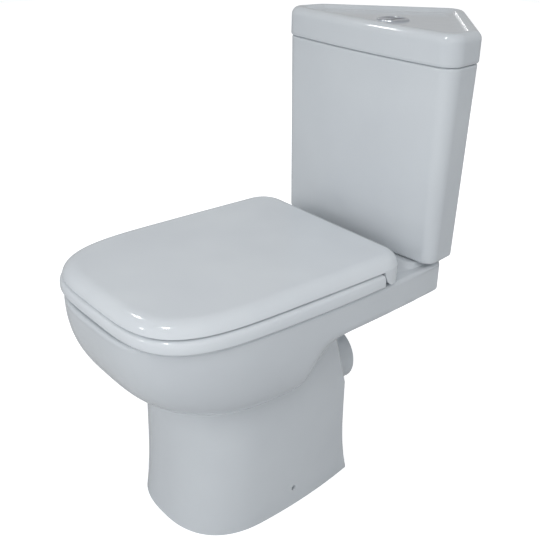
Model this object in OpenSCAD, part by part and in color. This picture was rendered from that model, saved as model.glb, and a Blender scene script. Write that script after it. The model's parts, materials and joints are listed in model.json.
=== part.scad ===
// Close-coupled corner toilet: a ceramic pan, a triangular cistern that sits
// in the corner of a room, a hinged seat and lid, and the flush and fill gear.
// Every length along Y is measured from the front face of the cistern: the
// bowl lies in -Y, the corner of the room in +Y. placed() then moves the whole
// toilet so that its bounding box is centred over the origin, on the floor.

/* [Pan] */
// Height of the ceramic rim above the floor
rim_h = 398; // [380:1:430]
// From the cistern's front face to the nose of the rim
pan_reach = 501; // [490:1:512]
// How far the rim's sides stand in from the cistern's sides
rim_in = 2; // [0:0.5:5]
// Squareness of the rim's front, 2 is an ellipse
rim_square = 3.2; // [2.4:0.1:4]
// How far the shelf's rear corners stand in from the cistern's sides
shelf_in = 19; // [15:1:24]
// From the cistern's front face back to the shelf's rear corners
shelf_back = 66; // [60:1:70]
// Thickness of the shelf's edge, below which its underside slants to the neck
shelf_edge = 49; // [44:1:54]
// Depth below the rim at which the shelf's underside meets the pedestal's neck
shelf_drop = 108; // [104:1:114]
// Thickness of the deck over the fixing pockets
deck_t = 14; // [12:1:18]
// Half of the pedestal's greatest width at the floor
foot_half_w = 123; // [118:1:128]
// From the cistern's front face to the toe of the pedestal
foot_reach = 394; // [386:1:402]
// How far the pedestal's neck stands back from its foot, front and rear
foot_flare = 9; // [4:1:14]
// Height at which the bowl's front leaves the pedestal
bowl_low_front = 256; // [244:1:270]
// Height at which the bowl's sides leave the pedestal
bowl_low_side = 246; // [236:1:262]
// Wall of the pedestal's skirt
skirt_t = 13; // [10:1:16]
// Height of the hollow inside the skirt
skirt_hollow_h = 168; // [120:1:176]
// Radius of the soft edge round the rim
rim_edge_r = 6; // [3:0.5:8]

/* [Bowl and trap] */
// Half of the bowl opening's width
mouth_half_w = 110; // [100:1:114]
// Length of the bowl opening
mouth_len = 300; // [280:1:304]
// Depth of the overhanging flushing rim
rim_lip_h = 28; // [22:1:32]
// Radius of the water passage through the trap
trap_r = 33; // [28:1:34]
// Height of the outlet's centre above the floor
outlet_h = 176; // [170:1:186]
// Outside radius of the outlet spigot
outlet_r = 50; // [48:0.5:52]
// Wall of the outlet spigot
outlet_wall = 9; // [7:1:12]
// From the cistern's front face to the end of the spigot, in front of it
outlet_end = -10; // [-20:1:4]
// Radius of the holes that fix the pedestal from its sides
side_fix_r = 4.5; // [3:0.5:6]
// Height of the side fixing holes
side_fix_h = 35; // [28:1:44]
// From the cistern's front face to the side fixing holes
side_fix_y = -208; // [-230:1:-180]

/* [Cistern] */
// Half of the cistern's width
tank_half_w = 184; // [178:1:190]
// Height of the cistern's underside above the rim
tank_gap = 9; // [8.5:0.5:12]
// Height of the cistern from its underside to the joint with its lid
tank_h = 320; // [300:5:345]
// Radius of the front corners in plan
front_r = 26; // [22:1:32]
// Radius of the corner between the end face and the wall face in plan
end_r = 17; // [17:1:22]
// Radius of the corner that goes into the corner of the room
apex_r = 32; // [26:1:40]
// Length of the straight end faces
end_len = 40; // [34:1:46]
// How far the end faces draw in toward the back
end_draw = 5.5; // [3:0.5:8]
// Bow of the front face
front_bow = 7.8; // [3:0.2:11]
// How far the cistern's walls draw in at the bottom
tank_draft = 7; // [3:0.5:8]
// Thickness of the cistern's walls
tank_wall = 9; // [8:0.5:10]
// Thickness of the cistern's floor
tank_floor = 12; // [10:1:15]

/* [Cistern lid] */
// Height of the lid from the joint to the top of its rim
lid_h = 49; // [44:1:54]
// How far the lid's sides stand out past the cistern
lid_over = 2; // [1:0.5:3]
// Radius of the lid's soft upper edge
lid_edge_r = 13; // [8:0.5:14]
// Depth of the dished top
dish_depth = 7; // [3:0.5:9]
// Thickness of the lid
lid_t = 10; // [8:0.5:12]

/* [Seat] */
// How far the seat ring's sides stand out past the rim
ring_out = 5; // [3:0.5:7]
// From the cistern's front face to the front of the seat ring
ring_reach = 497; // [492:1:500]
// Gap between the rim and the ring, held by the buffers
ring_gap = 3; // [2:0.5:4]
// Thickness of the seat ring
ring_t = 19; // [17:0.5:20]
// Half of the hole's width in the seat ring
hole_half_w = 108; // [100:1:112]
// Gap between the ring and the lid, held by the buffers
seat_gap = 3; // [2:0.5:4]
// How far the seat lid's sides stand in from the ring's
cover_in = 5.5; // [4:0.5:8]
// How much higher the seat's upper faces lie at the hinge than at the front
seat_rise = 5; // [0:0.5:6]
// From the cistern's front face to the front of the seat lid
cover_reach = 494.5; // [491:0.5:498]
// Squareness of the seat's front, 2 is an ellipse
seat_square = 3.9; // [3:0.1:4.6]
// Radius of the lid's broad soft edge
cover_edge_r = 24; // [20:1:26]
// Height of the seat lid's visible side and dome together
cover_h = 19; // [17:0.5:21]
// Wall of the hollow seat lid
cover_t = 6; // [5:0.5:7]

/* [Seat hinge] */
// Distance between the two hinge posts
hinge_pitch = 155; // [145:1:165]
// From the cistern's front face forward to the hinge axis
hinge_y = -51; // [-56:1:-50]
// Height of the hinge axis above the rim
hinge_rise = 21; // [20.5:0.5:23]
// Radius of the steel hinge pins
pin_r = 4; // [3:0.5:4.5]
// Radial clearance of the pieces that turn on the pins
pin_clear = 0.05; // [0.03:0.01:0.1]
// Radius of the post's knuckle
knuckle_r = 8; // [7:0.5:8.5]

/* [Flush gear] */
// From the cistern's front face to the flush valve
valve_y = 80; // [76:1:86]
// Outside radius of the flush valve's threaded tail
tail_r = 30; // [28:1:31]
// Lift of the flush valve's float tube
valve_lift = 12; // [8:1:16]
// Radius of the chrome bezel round the push buttons
bezel_r = 27; // [24:0.5:30]
// Radius of the hole in the cistern lid
button_hole_r = 21; // [19:0.5:22]
// Travel of the push buttons
button_travel = 6; // [4:0.5:8]
// From the centre of the cistern's rear corner forward to the fill valve
fill_in = 24; // [22:1:28]
// Outside radius of the half-inch threaded inlet tail
inlet_r = 10.4; // [9.5:0.1:10.5]
// Travel of the float
float_travel = 8; // [5:0.5:10]
// Radius of the cistern and hinge bolts
bolt_r = 4; // [3:0.5:4]
// Distance between the cistern bolts
bolt_pitch = 160; // [150:1:170]
// From the cistern's front face to the cistern bolts
bolt_y = 70; // [66:1:74]
// Running gap between pieces that slide
slide_gap = 0.5; // [0.3:0.1:0.8]

/* [Hidden] */
$fn = 48;

// Colours
glaze = [0.78, 0.80, 0.83];
seat_plastic = [0.80, 0.82, 0.85];
chrome = [0.72, 0.74, 0.76];
steel = [0.62, 0.64, 0.66];
rubber = [0.16, 0.16, 0.17];
white_plastic = [0.92, 0.92, 0.90];
float_plastic = [0.30, 0.42, 0.62];

// Overlap that makes a cut pass cleanly through a face
eps = 1;
// Points on the front, side, corner and back stretches of half a D outline
front_n = 14;
side_n = 6;
turn_n = 5;
back_n = 3;

// Pan: where the widest points and the ends of its outlines lie
rim_y = -252;
foot_y = -270;
foot_back = -63;
foot_back_half_w = 104;
foot_square = 2.5;
foot_back_in = 1;
back_flare = foot_flare + 5;
shelf_half_w = tank_half_w - shelf_in;
shelf_corner_r = 10;
shelf_tail = [77, shelf_back + 84];
rim_half_w = tank_half_w - rim_in;
waist_back = foot_back - back_flare;
waist_h = 185;
neck_back = waist_back - 22;
neck_corner_r = 16;
climb_start = -184;
core_half_w = 62;
core_front = -335;
core_low = 62;
mouth_back = -150;
mouth_y = mouth_back - mouth_len * 0.47;
mouth_square = 2.5;
mouth_draw = 15;
mouth_corner_r = 70;
sump_low = 84;
sump_r = 30;
sump_y = -246;
// How the bowl narrows from under its rim to the sump: share of depth, share of narrowing
bowl_steps = [[0.12, 0.03], [0.26, 0.15], [0.41, 0.53], [0.58, 0.72], [0.76, 0.86], [0.91, 0.95], [1, 1]];
// How the pedestal spreads toward the floor: height, share of the foot's spread
foot_steps = [[0, 1], [14, 0.75], [38, 0.4], [75, 0.12], [140, 0]];
// Fullness of the bowl's outer curve at its front and at its sides
full_front = [2.36, 2.14];
full_side = [2.48, 2.06];
// Where the slant under the shelf turns down into the neck: share of overhang, depth below the rim
knee = [0.16, shelf_edge + 47];
shelf_from = -225;
shelf_full = -135;
climb_power = 0.85;
// Trap: centre line from the sump over the weir to the outlet, as y and z
trap_line = [[-238, 112], [-178, 112], [-128, 225], [-98, outlet_h]];
inlet_bore_r = 15;
inlet_bore_h = rim_h - 32;
// Raised bed under the cistern: its height, its front edge, and the well for the bolts
pad_h = 7;
pad_front = 2;
well_h = 3;
recess_r = 46;
recess_low = rim_h - 20;
// Rooms under the deck for the nuts, and the ways into them from below
pocket_in = 54;
throat_out = 98;
throat_back = 100;
room_out = shelf_half_w - 21;
room_back = shelf_back - 26;
room_low = rim_h - 49;
deck_low = rim_h - deck_t;

// Cistern: centres of its corner arcs
bow_turn = atan(2 * front_bow / (tank_half_w - front_r));
front_c = [tank_half_w - front_r, front_bow + front_r * cos(bow_turn)];
end_c = [tank_half_w - end_draw - end_r, front_c[1] + end_len];
apex_c = [0, end_c[0] + end_c[1] + sqrt(2) * (end_r - apex_r)];
end_turn = atan2(end_c[1] - front_c[1], end_c[0] - front_c[0]) - 90
    + asin((front_r - end_r) / norm(end_c - front_c));
tank_low = rim_h + tank_gap;
tank_joint = tank_low + tank_h;
lid_top = tank_joint + lid_h;
dish_z = lid_top - dish_depth;
lid_under = dish_z - lid_t;
floor_top = tank_low + tank_floor;

// Seat
seat_y = -254.5;
ring_half_w = rim_half_w + ring_out;
cover_half_w = ring_half_w - cover_in;
ring_low = rim_h + ring_gap;
ring_top = ring_low + ring_t;
ring_back = hinge_y - 34;
ring_draw = 5.5;
ring_corner_r = 3;
hole_y = -295;
hole_reach = 147;
hole_back = -165;
hole_draw = 13;
hole_corner_r = 60;
cover_low = ring_top + seat_gap;
cover_top = cover_low + cover_h;
cover_back = hinge_y + 19.5;
cover_corner_r = 48;
hinge_z = rim_h + hinge_rise;
ear_low = rim_h + 3;
ear_swing = hinge_rise - 0.6;
post_half_w = 10.5;
post_x = hinge_pitch / 2;
ear_x = post_x + post_half_w + 0.5;
lug_x = [post_x - post_half_w - 22, post_x - post_half_w - 0.5];
pin_x = [lug_x[0], ear_x + 20];
notch_gap = 1.5;

// Push buttons and flush valve
rod_x = 10;
rod_r = 3.5;
rod_low = tank_joint - 62;
button_low = dish_z - 5;
button_top = dish_z + 2;
button_r = 17.6;
button_split = 4;
housing_low = dish_z - 23 - button_travel;
housing_floor = 3;
washer_t = 3;
flange_low = floor_top + washer_t;
flange_t = 4;
seat_z = flange_low + 18;
guide_z = seat_z + 34 + valve_lift;
tower_top = tank_joint - 37;
tube_top = tank_joint - 87;
tube_r = 13;
plate_t = 2;
plate_low = tank_low - plate_t;
spring_r = 5.4;
spring_wire = 0.6;
spring_turns = 6;

// Fill valve
riser_r = 9;
fill_y = apex_c[1] - fill_in;
head_low = tank_joint - 37;
head_top = head_low + 22;
float_low = head_low - 122 - float_travel;
float_top = float_low + 60;
link_y = fill_y - 26;
lever_y = fill_y + 12;
lever_z = head_top + 6;
lever_t = 4;

// The bounding box in Y, and the move that centres it over the origin
box_front = -pan_reach;
box_back = apex_c[1] + apex_r + lid_over;
origin_y = -(box_front + box_back) / 2;

module placed() {
    translate([0, origin_y, 0]) children();
}

module pair(x) {
    for (side = [-1, 1]) translate([side * x, 0, 0]) children();
}

function blend(a, b, t) = a + (b - a) * t;
function share(t) = min(max(t, 0), 1);
function smooth(t) = share(t) * share(t) * (3 - 2 * share(t));
function at_z(line, z) = [for (p = line) [p[0], p[1], z]];
function flip(p) = len(p) == 3 ? [-p[0], p[1], p[2]] : [-p[0], p[1]];
// A whole outline from its half, skipping points that lie on the middle plane
function whole(half) = concat(half, [for (i = [len(half) - 1:-1:1]) if (half[i][0] > 0.001) flip(half[i])]);

// Half a D outline: a superellipse front, sides that draw in, a rear corner and a back.
// a and b are the half width and reach from y, square the exponent, end_w the half
// width at the back, back_y the back, r its corner, and tail a point further back.
function d_half(a, y, b, square, end_w, back_y, r, tail = undef) =
    let(turn = is_undef(tail) ? 90 : 45)
    let(corner = [end_w - r + r * cos(turn), back_y - r + r * sin(turn)])
    let(last = is_undef(tail) ? [corner[0] / 2, back_y] : tail)
    concat(
        [for (i = [0:front_n]) let(t = 90 * i / front_n)
            [a * pow(sin(t), 2 / square), y - b * pow(cos(t), 2 / square)]],
        [for (i = [1:side_n]) let(u = i / side_n) [blend(a, end_w, u * u), blend(y, back_y - r, u)]],
        [for (i = [1:turn_n]) let(t = turn * i / turn_n)
            [end_w - r + r * cos(t), back_y - r + r * sin(t)]],
        [for (i = [1:back_n]) blend(corner, last, i / back_n)]
    );

// A closed surface through rings of points that each run anticlockwise from above.
// An open loft is capped at both ends, a closed one joins its last ring to its first.
module loft(rings, closed = false) {
    n = len(rings[0]);
    m = len(rings);
    walls = [
        for (k = [0:closed ? m - 1 : m - 2], i = [0:n - 1])
            let(a = k * n + i, b = ((k + 1) % m) * n + i)
            let(c = ((k + 1) % m) * n + (i + 1) % n, d = k * n + (i + 1) % n)
            each [[a, b, c], [a, c, d]]
    ];
    caps = closed ? [] : [[for (i = [0:n - 1]) i], [for (i = [n - 1:-1:0]) (m - 1) * n + i]];
    polyhedron([for (r = rings) each r], concat(walls, caps));
}

// A straight round bar between two points
module bar(from, to, r) {
    d = to - from;
    translate(from)
        rotate([0, acos(d[2] / norm(d)), atan2(d[1], d[0])])
            cylinder(r = r, h = norm(d));
}

module tube(r_out, r_in, h) {
    difference() {
        cylinder(r = r_out, h = h);
        translate([0, 0, -eps]) cylinder(r = r_in, h = h + 2 * eps);
    }
}

module x_bar(x0, x1, r) {
    translate([x0, 0, 0]) rotate([0, 90, 0]) cylinder(r = r, h = x1 - x0);
}

// ---- Pan ----

rim_half = d_half(rim_half_w, rim_y, pan_reach + rim_y, rim_square,
    shelf_half_w, shelf_back, shelf_corner_r, shelf_tail);
function stem_half(back, corner_r) = d_half(foot_half_w - foot_back_in, foot_y, foot_reach - foot_flare + foot_y,
    foot_square, foot_back_half_w - foot_back_in, back, corner_r);
// The pedestal's waist, and its neck under the bowl, whose back leans forward
waist_half = stem_half(waist_back, shelf_corner_r);
neck_half = stem_half(neck_back, neck_corner_r);
foot_half = d_half(foot_half_w, foot_y, foot_reach + foot_y, foot_square,
    foot_back_half_w, foot_back, shelf_corner_r);

// How far a point of the neck lies along the climb from the bowl's side to the shelf
function climb(i) = share((neck_half[i][1] - climb_start) / (neck_back - climb_start));
function side_share(i) = smooth(i / front_n);
function low_z(i) = blend(
    blend(bowl_low_front, bowl_low_side, side_share(i)),
    rim_h - shelf_drop, pow(climb(i), climb_power));
function fullness(i) = blend(full_front, full_side, side_share(i));
function shelf_share(i) = smooth((rim_half[i][1] - shelf_from) / (shelf_full - shelf_from));
function shelf_reach(drop, low) = drop < knee[1]
    ? blend(knee[0], 1, share((knee[1] - drop) / (knee[1] - shelf_edge)))
    : knee[0] * share((low - drop) / (low - knee[1]));
// A point of the bowl's outside: s runs from 0 at the rim to 1 at the pedestal
function bowl_point(i, s) =
    let(f = fullness(i), z = blend(rim_h, low_z(i), s))
    let(reach = blend(pow(1 - pow(s, f[0]), 1 / f[1]), shelf_reach(rim_h - z, rim_h - low_z(i)), shelf_share(i)))
    let(p = blend(neck_half[i], rim_half[i], reach))
    [p[0], p[1], z];
bowl_n = 12;
function bowl_ring(k) = [for (i = [0:len(rim_half) - 1]) bowl_point(i, sin(90 * k / bowl_n))];
function rim_ring(inset, z) = at_z(d_half(rim_half_w - inset, rim_y, pan_reach + rim_y - inset, rim_square,
    shelf_half_w - inset, shelf_back - inset, shelf_corner_r, shelf_tail - [inset / 2, inset]), z);
function mouth_half(out) = d_half(mouth_half_w + out, mouth_y, mouth_len * 0.53 + out, mouth_square,
    mouth_half_w - mouth_draw + out, mouth_back + out, mouth_corner_r);
sump_half = d_half(sump_r + 2, sump_y, sump_r, 2, sump_r, sump_y + sump_r, sump_r - 4);
lip_low = rim_h - rim_lip_h;
lip_out = 12;
throat_z = lip_low - 6;
function bowl_step(p) = at_z(
    [for (i = [0:len(sump_half) - 1]) blend(mouth_half(lip_out)[i], sump_half[i], p[1])],
    blend(throat_z, sump_low, p[0]));

module pan_form() {
    loft([for (half = concat(
        [for (p = foot_steps) at_z([for (i = [0:len(foot_half) - 1])
            blend(waist_half[i], foot_half[i], p[1])], p[0])],
        [at_z(waist_half, waist_h)],
        [for (k = [bowl_n:-1:1]) bowl_ring(k)],
        [rim_ring(0, rim_h - rim_edge_r)],
        [for (t = [30, 60, 90]) rim_ring(rim_edge_r * (1 - cos(t)), rim_h - rim_edge_r + rim_edge_r * sin(t))],
        [at_z(mouth_half(4), rim_h), at_z(mouth_half(0), rim_h - 4)],
        [at_z(mouth_half(0), lip_low), at_z(mouth_half(lip_out), throat_z)],
        [for (p = bowl_steps) bowl_step(p)]
    )) whole(half)]);
}

// The bed rises softly from the deck and is level under the cistern
function pad_line(out, z) =
    let(w = shelf_half_w - rim_edge_r - 12 + out, front = pad_front - 1.6 * out, back = shelf_tail[1] - 10 + out)
    whole(at_z([
        [0, front], [0.5 * w, front + 0.9], [w - 14, front + 3.6], [w - 4, front + 8], [w, front + 17],
        [w, shelf_back - 14 + 0.4 * out], [shelf_tail[0] - 6 + 0.4 * out, back], [0, back]
    ], z));

module cistern_pad() {
    top = rim_h + pad_h;
    loft([
        pad_line(8, rim_h - shelf_corner_r), pad_line(8, rim_h - 0.4), pad_line(6.5, rim_h + 0.1 * pad_h),
        pad_line(3, rim_h + 0.6 * pad_h), pad_line(1, rim_h + 0.9 * pad_h), pad_line(-1.5, top)
    ]);
}

// Level well in the bed for the coupling plate, its nut and the bolts' spacers
module plate_well() {
    x = bolt_pitch / 2 + plate_margin + 5;
    translate([-x, bolt_y - plate_margin - 5, rim_h + well_h])
        cube([2 * x, valve_y - bolt_y + plate_margin + plate_reach + 10, rim_h]);
}

module skirt_hollow() {
    w = foot_half_w - foot_back_in - skirt_t;
    half = d_half(w, foot_y, foot_reach - foot_flare + foot_y - skirt_t, foot_square,
        foot_back_half_w - foot_back_in - skirt_t, foot_back + 3 * skirt_t, 2);
    difference() {
        translate([0, 0, -eps]) linear_extrude(skirt_hollow_h + eps) polygon(whole(half));
        translate([-core_half_w, core_front, core_low])
            cube([2 * core_half_w, outlet_end - core_front, skirt_hollow_h]);
    }
}

module trapway() {
    for (i = [0:len(trap_line) - 2])
        bar([0, trap_line[i][0], trap_line[i][1]], [0, trap_line[i + 1][0], trap_line[i + 1][1]], trap_r);
    for (i = [1:len(trap_line) - 1])
        translate([0, trap_line[i][0], trap_line[i][1]]) sphere(r = trap_r + 0.4);
    bar([0, trap_line[3][0], outlet_h], [0, outlet_end + eps, outlet_h], outlet_r - outlet_wall);
}

module deck_pocket() {
    front = waist_back + 13;
    translate([0, 0, room_low]) linear_extrude(deck_low - room_low)
        polygon([
            [pocket_in, front], [room_out, front], [room_out, room_back],
            [throat_out, throat_back], [pocket_in, throat_back]
        ]);
    translate([pocket_in, front, rim_h - shelf_drop - 2 * shelf_corner_r])
        cube([throat_out - pocket_in, throat_back - front, shelf_drop - deck_t + shelf_corner_r]);
}

// The spigot's seal runs on its full radius; behind that it is relieved to the neck
module spigot() {
    relief = 1;
    bar([0, neck_back - 20, outlet_h], [0, waist_back + 18, outlet_h], outlet_r - relief);
    bar([0, waist_back + 17, outlet_h], [0, outlet_end, outlet_h], outlet_r);
}

module pan() {
    color(glaze) placed() difference() {
        union() {
            pan_form();
            cistern_pad();
            spigot();
        }
        plate_well();
        skirt_hollow();
        trapway();
        deck_pocket();
        mirror([1, 0, 0]) deck_pocket();
        // Flush inlet: the recess for the washer, the bore down, and the passage to the rim
        translate([0, valve_y, recess_low]) cylinder(r = recess_r, h = rim_h);
        translate([0, valve_y, inlet_bore_h - inlet_bore_r]) cylinder(r = tail_r + 3, h = rim_h);
        bar([0, valve_y, inlet_bore_h], [0, mouth_back - 20, inlet_bore_h], inlet_bore_r);
        // Holes for the cistern bolts, the hinge studs and the side fixings
        pair(bolt_pitch / 2) translate([0, bolt_y, deck_low - eps]) cylinder(r = bolt_r + 2, h = 2 * deck_t);
        pair(post_x) translate([0, hinge_y, deck_low - eps]) cylinder(r = bolt_r + 3, h = 2 * deck_t);
        translate([0, side_fix_y, side_fix_h]) x_bar(-foot_half_w - eps, foot_half_w + eps, side_fix_r);
    }
}

// ---- Cistern and its lid ----

// Half the cistern's outline, drawn in by inset at its arcs and by move at their centres
function tank_half(inset, move = 0) =
    let(r1 = max(front_r - inset, 1.5), r2 = max(end_r - inset, 1.5), r3 = max(apex_r - inset, 1.5))
    let(c1 = front_c + [-move, move], c2 = end_c + [-move, -0.414 * move], c3 = apex_c - [0, sqrt(2) * move])
    let(join = c1 + r1 * [sin(bow_turn), -cos(bow_turn)], y0 = inset + move)
    concat(
        [for (k = [0:5]) [join[0] * k / 5, blend(y0, join[1], pow(k / 5, 2))]],
        [for (k = [1:6]) let(t = blend(bow_turn - 90, end_turn, k / 6)) c1 + r1 * [cos(t), sin(t)]],
        [for (k = [0:4]) let(t = blend(end_turn, 45, k / 4)) c2 + r2 * [cos(t), sin(t)]],
        [for (k = [0:5]) let(t = blend(45, 90, k / 5)) [k == 5 ? 0 : c3[0] + r3 * cos(t), c3[1] + r3 * sin(t)]]
    );
function tank_ring(z, inset, move = 0) = whole(at_z(tank_half(inset, move), z));

module cistern() {
    color(glaze) placed() difference() {
        loft([
            tank_ring(tank_low, tank_draft + 4),
            tank_ring(tank_low + 1.5, tank_draft + 1.3),
            tank_ring(tank_low + 5, tank_draft),
            tank_ring(tank_joint - 2, 0),
            tank_ring(tank_joint, 1.5),
            tank_ring(tank_joint, tank_wall),
            tank_ring(floor_top, tank_draft + tank_wall)
        ]);
        translate([0, valve_y, tank_low - eps]) cylinder(r = tail_r + 1, h = tank_floor + 2 * eps);
        translate([0, fill_y, tank_low - eps]) cylinder(r = inlet_r + 1, h = tank_floor + 2 * eps);
        pair(bolt_pitch / 2) translate([0, bolt_y, tank_low - eps]) cylinder(r = bolt_r + 1, h = tank_floor + 2 * eps);
        wall_fixings();
    }
}

// One screw hole through each wall face, near the top of the cistern
wall_fix_r = 3.5;
wall_fix_z = tank_joint - 70;
wall_fix_x = 100;
wall_fix_y = end_c[0] + end_c[1] + sqrt(2) * end_r - wall_fix_x;
module wall_fixings() {
    for (side = [-1, 1])
        translate([side * wall_fix_x, wall_fix_y, wall_fix_z])
            rotate([0, 90, side > 0 ? 45 : 135])
                translate([0, 0, -3 * tank_wall]) cylinder(r = wall_fix_r, h = 4 * tank_wall);
}

module cistern_lid() {
    soft = [for (k = [1:4]) 22.5 * k];
    color(glaze) placed() difference() {
        loft(concat(
            [tank_ring(lid_under, tank_wall + 4), tank_ring(tank_joint, tank_wall + 2)],
            [tank_ring(tank_joint, 0.5), tank_ring(tank_joint + 1.5, -lid_over * 0.6)],
            [tank_ring(tank_joint + 5, -lid_over), tank_ring(lid_top - lid_edge_r, -lid_over)],
            [for (t = soft) tank_ring(lid_top - lid_edge_r * (1 - sin(t)), lid_edge_r * (1 - cos(t)) - lid_over)],
            [tank_ring(lid_top - 0.5, lid_edge_r - lid_over, 4)],
            [tank_ring(dish_z + 1.5, lid_edge_r - lid_over, 10), tank_ring(dish_z, lid_edge_r - lid_over, 16)]
        ));
        translate([0, valve_y, lid_under - eps]) cylinder(r = button_hole_r, h = lid_h);
    }
}

// ---- Seat ring and seat lid ----

// The upper faces lie in planes that rise gently from the front to the hinge
function rise_at(y) = seat_rise * (y + ring_reach) / (ring_reach + hinge_y);
function risen(line) = [for (p = line) [p[0], p[1], p[2] + rise_at(p[1])]];
function ring_line(in, z) = whole(at_z(d_half(ring_half_w - in, seat_y, ring_reach + seat_y - in, seat_square,
    ring_half_w - ring_draw - in, ring_back - in, ring_corner_r), z));
function hole_line(out, z) = whole(at_z(d_half(hole_half_w + out, hole_y, hole_reach + out, mouth_square,
    hole_half_w - hole_draw + out, hole_back + out, hole_corner_r), z));
function cover_line(in, z) = risen(whole(at_z(d_half(cover_half_w - in, seat_y, cover_reach + seat_y - in,
    seat_square, cover_half_w - 1 - in, cover_back - in, cover_corner_r - in), z)));

module seat_ring() {
    lug_r = pin_r + 4.5;
    color(seat_plastic) placed() difference() {
        union() {
            loft([
                ring_line(2.5, ring_low), ring_line(0, ring_low + 3), risen(ring_line(0.5, ring_top - 8)),
                risen(ring_line(3.5, ring_top - 2.5)), risen(ring_line(10, ring_top)),
                risen(hole_line(16, ring_top)), risen(hole_line(6, ring_top - 3)), risen(hole_line(0, ring_top - 10)),
                hole_line(0, ring_low + 3), hole_line(2.5, ring_low)
            ], closed = true);
            for (side = [0, 1]) mirror([side, 0, 0]) {
                translate([0, hinge_y, hinge_z]) x_bar(lug_x[0], lug_x[1], lug_r);
                translate([lug_x[0], ring_back - 9, hinge_z - lug_r])
                    cube([lug_x[1] - lug_x[0], hinge_y - ring_back + 9, lug_r]);
            }
        }
        translate([0, hinge_y, hinge_z]) x_bar(-ear_x, ear_x, pin_r + pin_clear);
    }
}

// Side shape of a lid ear: a slanted front, a low sole, and a back that stays
// inside the swing that clears the deck
module ear_side() {
    low = ear_low - hinge_z;
    turn = asin(low / ear_swing);
    back = cover_back - hinge_y;
    back_turn = -acos(back / ear_swing);
    top = cover_low + seat_rise + 1 - hinge_z;
    front = ring_back - hinge_y;
    translate([hinge_y, hinge_z]) polygon(concat(
        [[front - 4.5, top], [front + 3, low + 10], [front + 10, low + 2.5], [front + 16, low]],
        [for (k = [0:4]) let(t = blend(turn, back_turn, k / 4)) ear_swing * [cos(t), sin(t)]],
        [[back, top]]
    ));
}

// The ears stop a little inside the lid's edge
ear_in = 1.2;
ear_half = d_half(cover_half_w - ear_in, seat_y - 0.7, cover_reach + seat_y - ear_in, seat_square,
    cover_half_w - 1 - ear_in, cover_back - ear_in, cover_corner_r - ear_in - 0.4);

module cover_ears() {
    intersection() {
        translate([0, 0, rim_h]) linear_extrude(cover_low + seat_rise + 1 - rim_h)
            polygon(whole(ear_half));
        for (side = [0, 1]) mirror([side, 0, 0])
            translate([ear_x, 0, 0]) rotate([90, 0, 90]) linear_extrude(cover_half_w) ear_side();
    }
}

module seat_lid() {
    core_z = cover_top - cover_edge_r;
    inner_r = cover_edge_r - cover_t;
    t0 = asin((cover_low - core_z) / cover_edge_r);
    t1 = asin((cover_low - core_z) / inner_r);
    color(seat_plastic) placed() difference() {
        union() {
            loft(concat(
                [for (k = [3:-1:0]) let(t = blend(t1, 90, k / 3))
                    cover_line(cover_edge_r - inner_r * cos(t), core_z + inner_r * sin(t))],
                [for (k = [0:5]) let(t = blend(t0, 90, k / 5))
                    cover_line(cover_edge_r * (1 - cos(t)), core_z + cover_edge_r * sin(t))]
            ));
            cover_ears();
        }
        for (side = [0, 1]) mirror([side, 0, 0]) {
            translate([0, hinge_y, hinge_z]) x_bar(ear_x - eps, pin_x[1] + 1, pin_r + pin_clear);
            // Notch in the rear skirt that passes the hinge post
            translate([post_x - post_half_w - notch_gap, hinge_y + 10, rim_h])
                cube([2 * (post_half_w + notch_gap) - 1.5, 30, cover_top + seat_rise - cover_t + 0.7 - rim_h]);
        }
    }
}

ring_buffer_r = 9;
lid_buffer_r = 8;
ring_buffer_at = [[ring_half_w - 82, -438], [ring_half_w - 39, -190]];
lid_buffer_at = [[ring_half_w - 75, -410], [ring_half_w - 45, -250]];

// A round pad whose ends lie in the seat's rising planes
function round_line(at, r, z) = risen([for (t = [0:15:345]) [at[0] + r * cos(t), at[1] + r * sin(t), z]]);
module risen_pad(at, r, z0, z1) {
    loft([round_line(at, r, z0), round_line(at, r, z1)]);
}

module ring_buffers() {
    color(rubber) placed()
        for (p = ring_buffer_at) pair(p[0])
            translate([0, p[1], rim_h + 0.3]) cylinder(r = ring_buffer_r, h = ring_gap - 0.3);
}

module lid_buffers() {
    color(rubber) placed()
        for (p = lid_buffer_at, side = [-1, 1])
            risen_pad([side * p[0], p[1]], lid_buffer_r, ring_top + 0.3, cover_top - cover_t);
}

// ---- Seat hinge ----

stud_low = deck_low - 34;
gasket_t = 1;
cone_h = 6;
wing_nut_h = 12;

module at_hinges() {
    placed() pair(post_x) translate([0, hinge_y, 0]) children();
}

module hinge_posts() {
    base_z = rim_h + gasket_t;
    color(chrome) at_hinges() difference() {
        union() {
            translate([0, 0, base_z]) cylinder(r = post_half_w, h = 3);
            translate([-post_half_w, -6, base_z]) cube([2 * post_half_w, 12, hinge_z - base_z]);
            translate([0, 0, hinge_z]) x_bar(-post_half_w, post_half_w, knuckle_r);
            translate([0, 0, stud_low]) cylinder(r = pin_r, h = base_z - stud_low + eps);
        }
        translate([0, 0, hinge_z]) x_bar(-post_half_w - eps, post_half_w + eps, pin_r);
    }
}

module hinge_gaskets() {
    color(rubber) at_hinges()
        translate([0, 0, rim_h]) difference() {
            cylinder(r = post_half_w, h = gasket_t);
            translate([0, 0, -eps]) cylinder(r = pin_r, h = gasket_t + 2 * eps);
        }
}

module hinge_pins() {
    color(steel) placed() for (side = [0, 1]) mirror([side, 0, 0])
        translate([0, hinge_y, hinge_z]) x_bar(pin_x[0], pin_x[1], pin_r);
}

module hinge_cone_washers() {
    color(rubber) at_hinges() translate([0, 0, deck_low - cone_h]) difference() {
        cylinder(r1 = 8, r2 = 11, h = cone_h);
        translate([0, 0, -eps]) cylinder(r = pin_r, h = cone_h + 2 * eps);
    }
}

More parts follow.
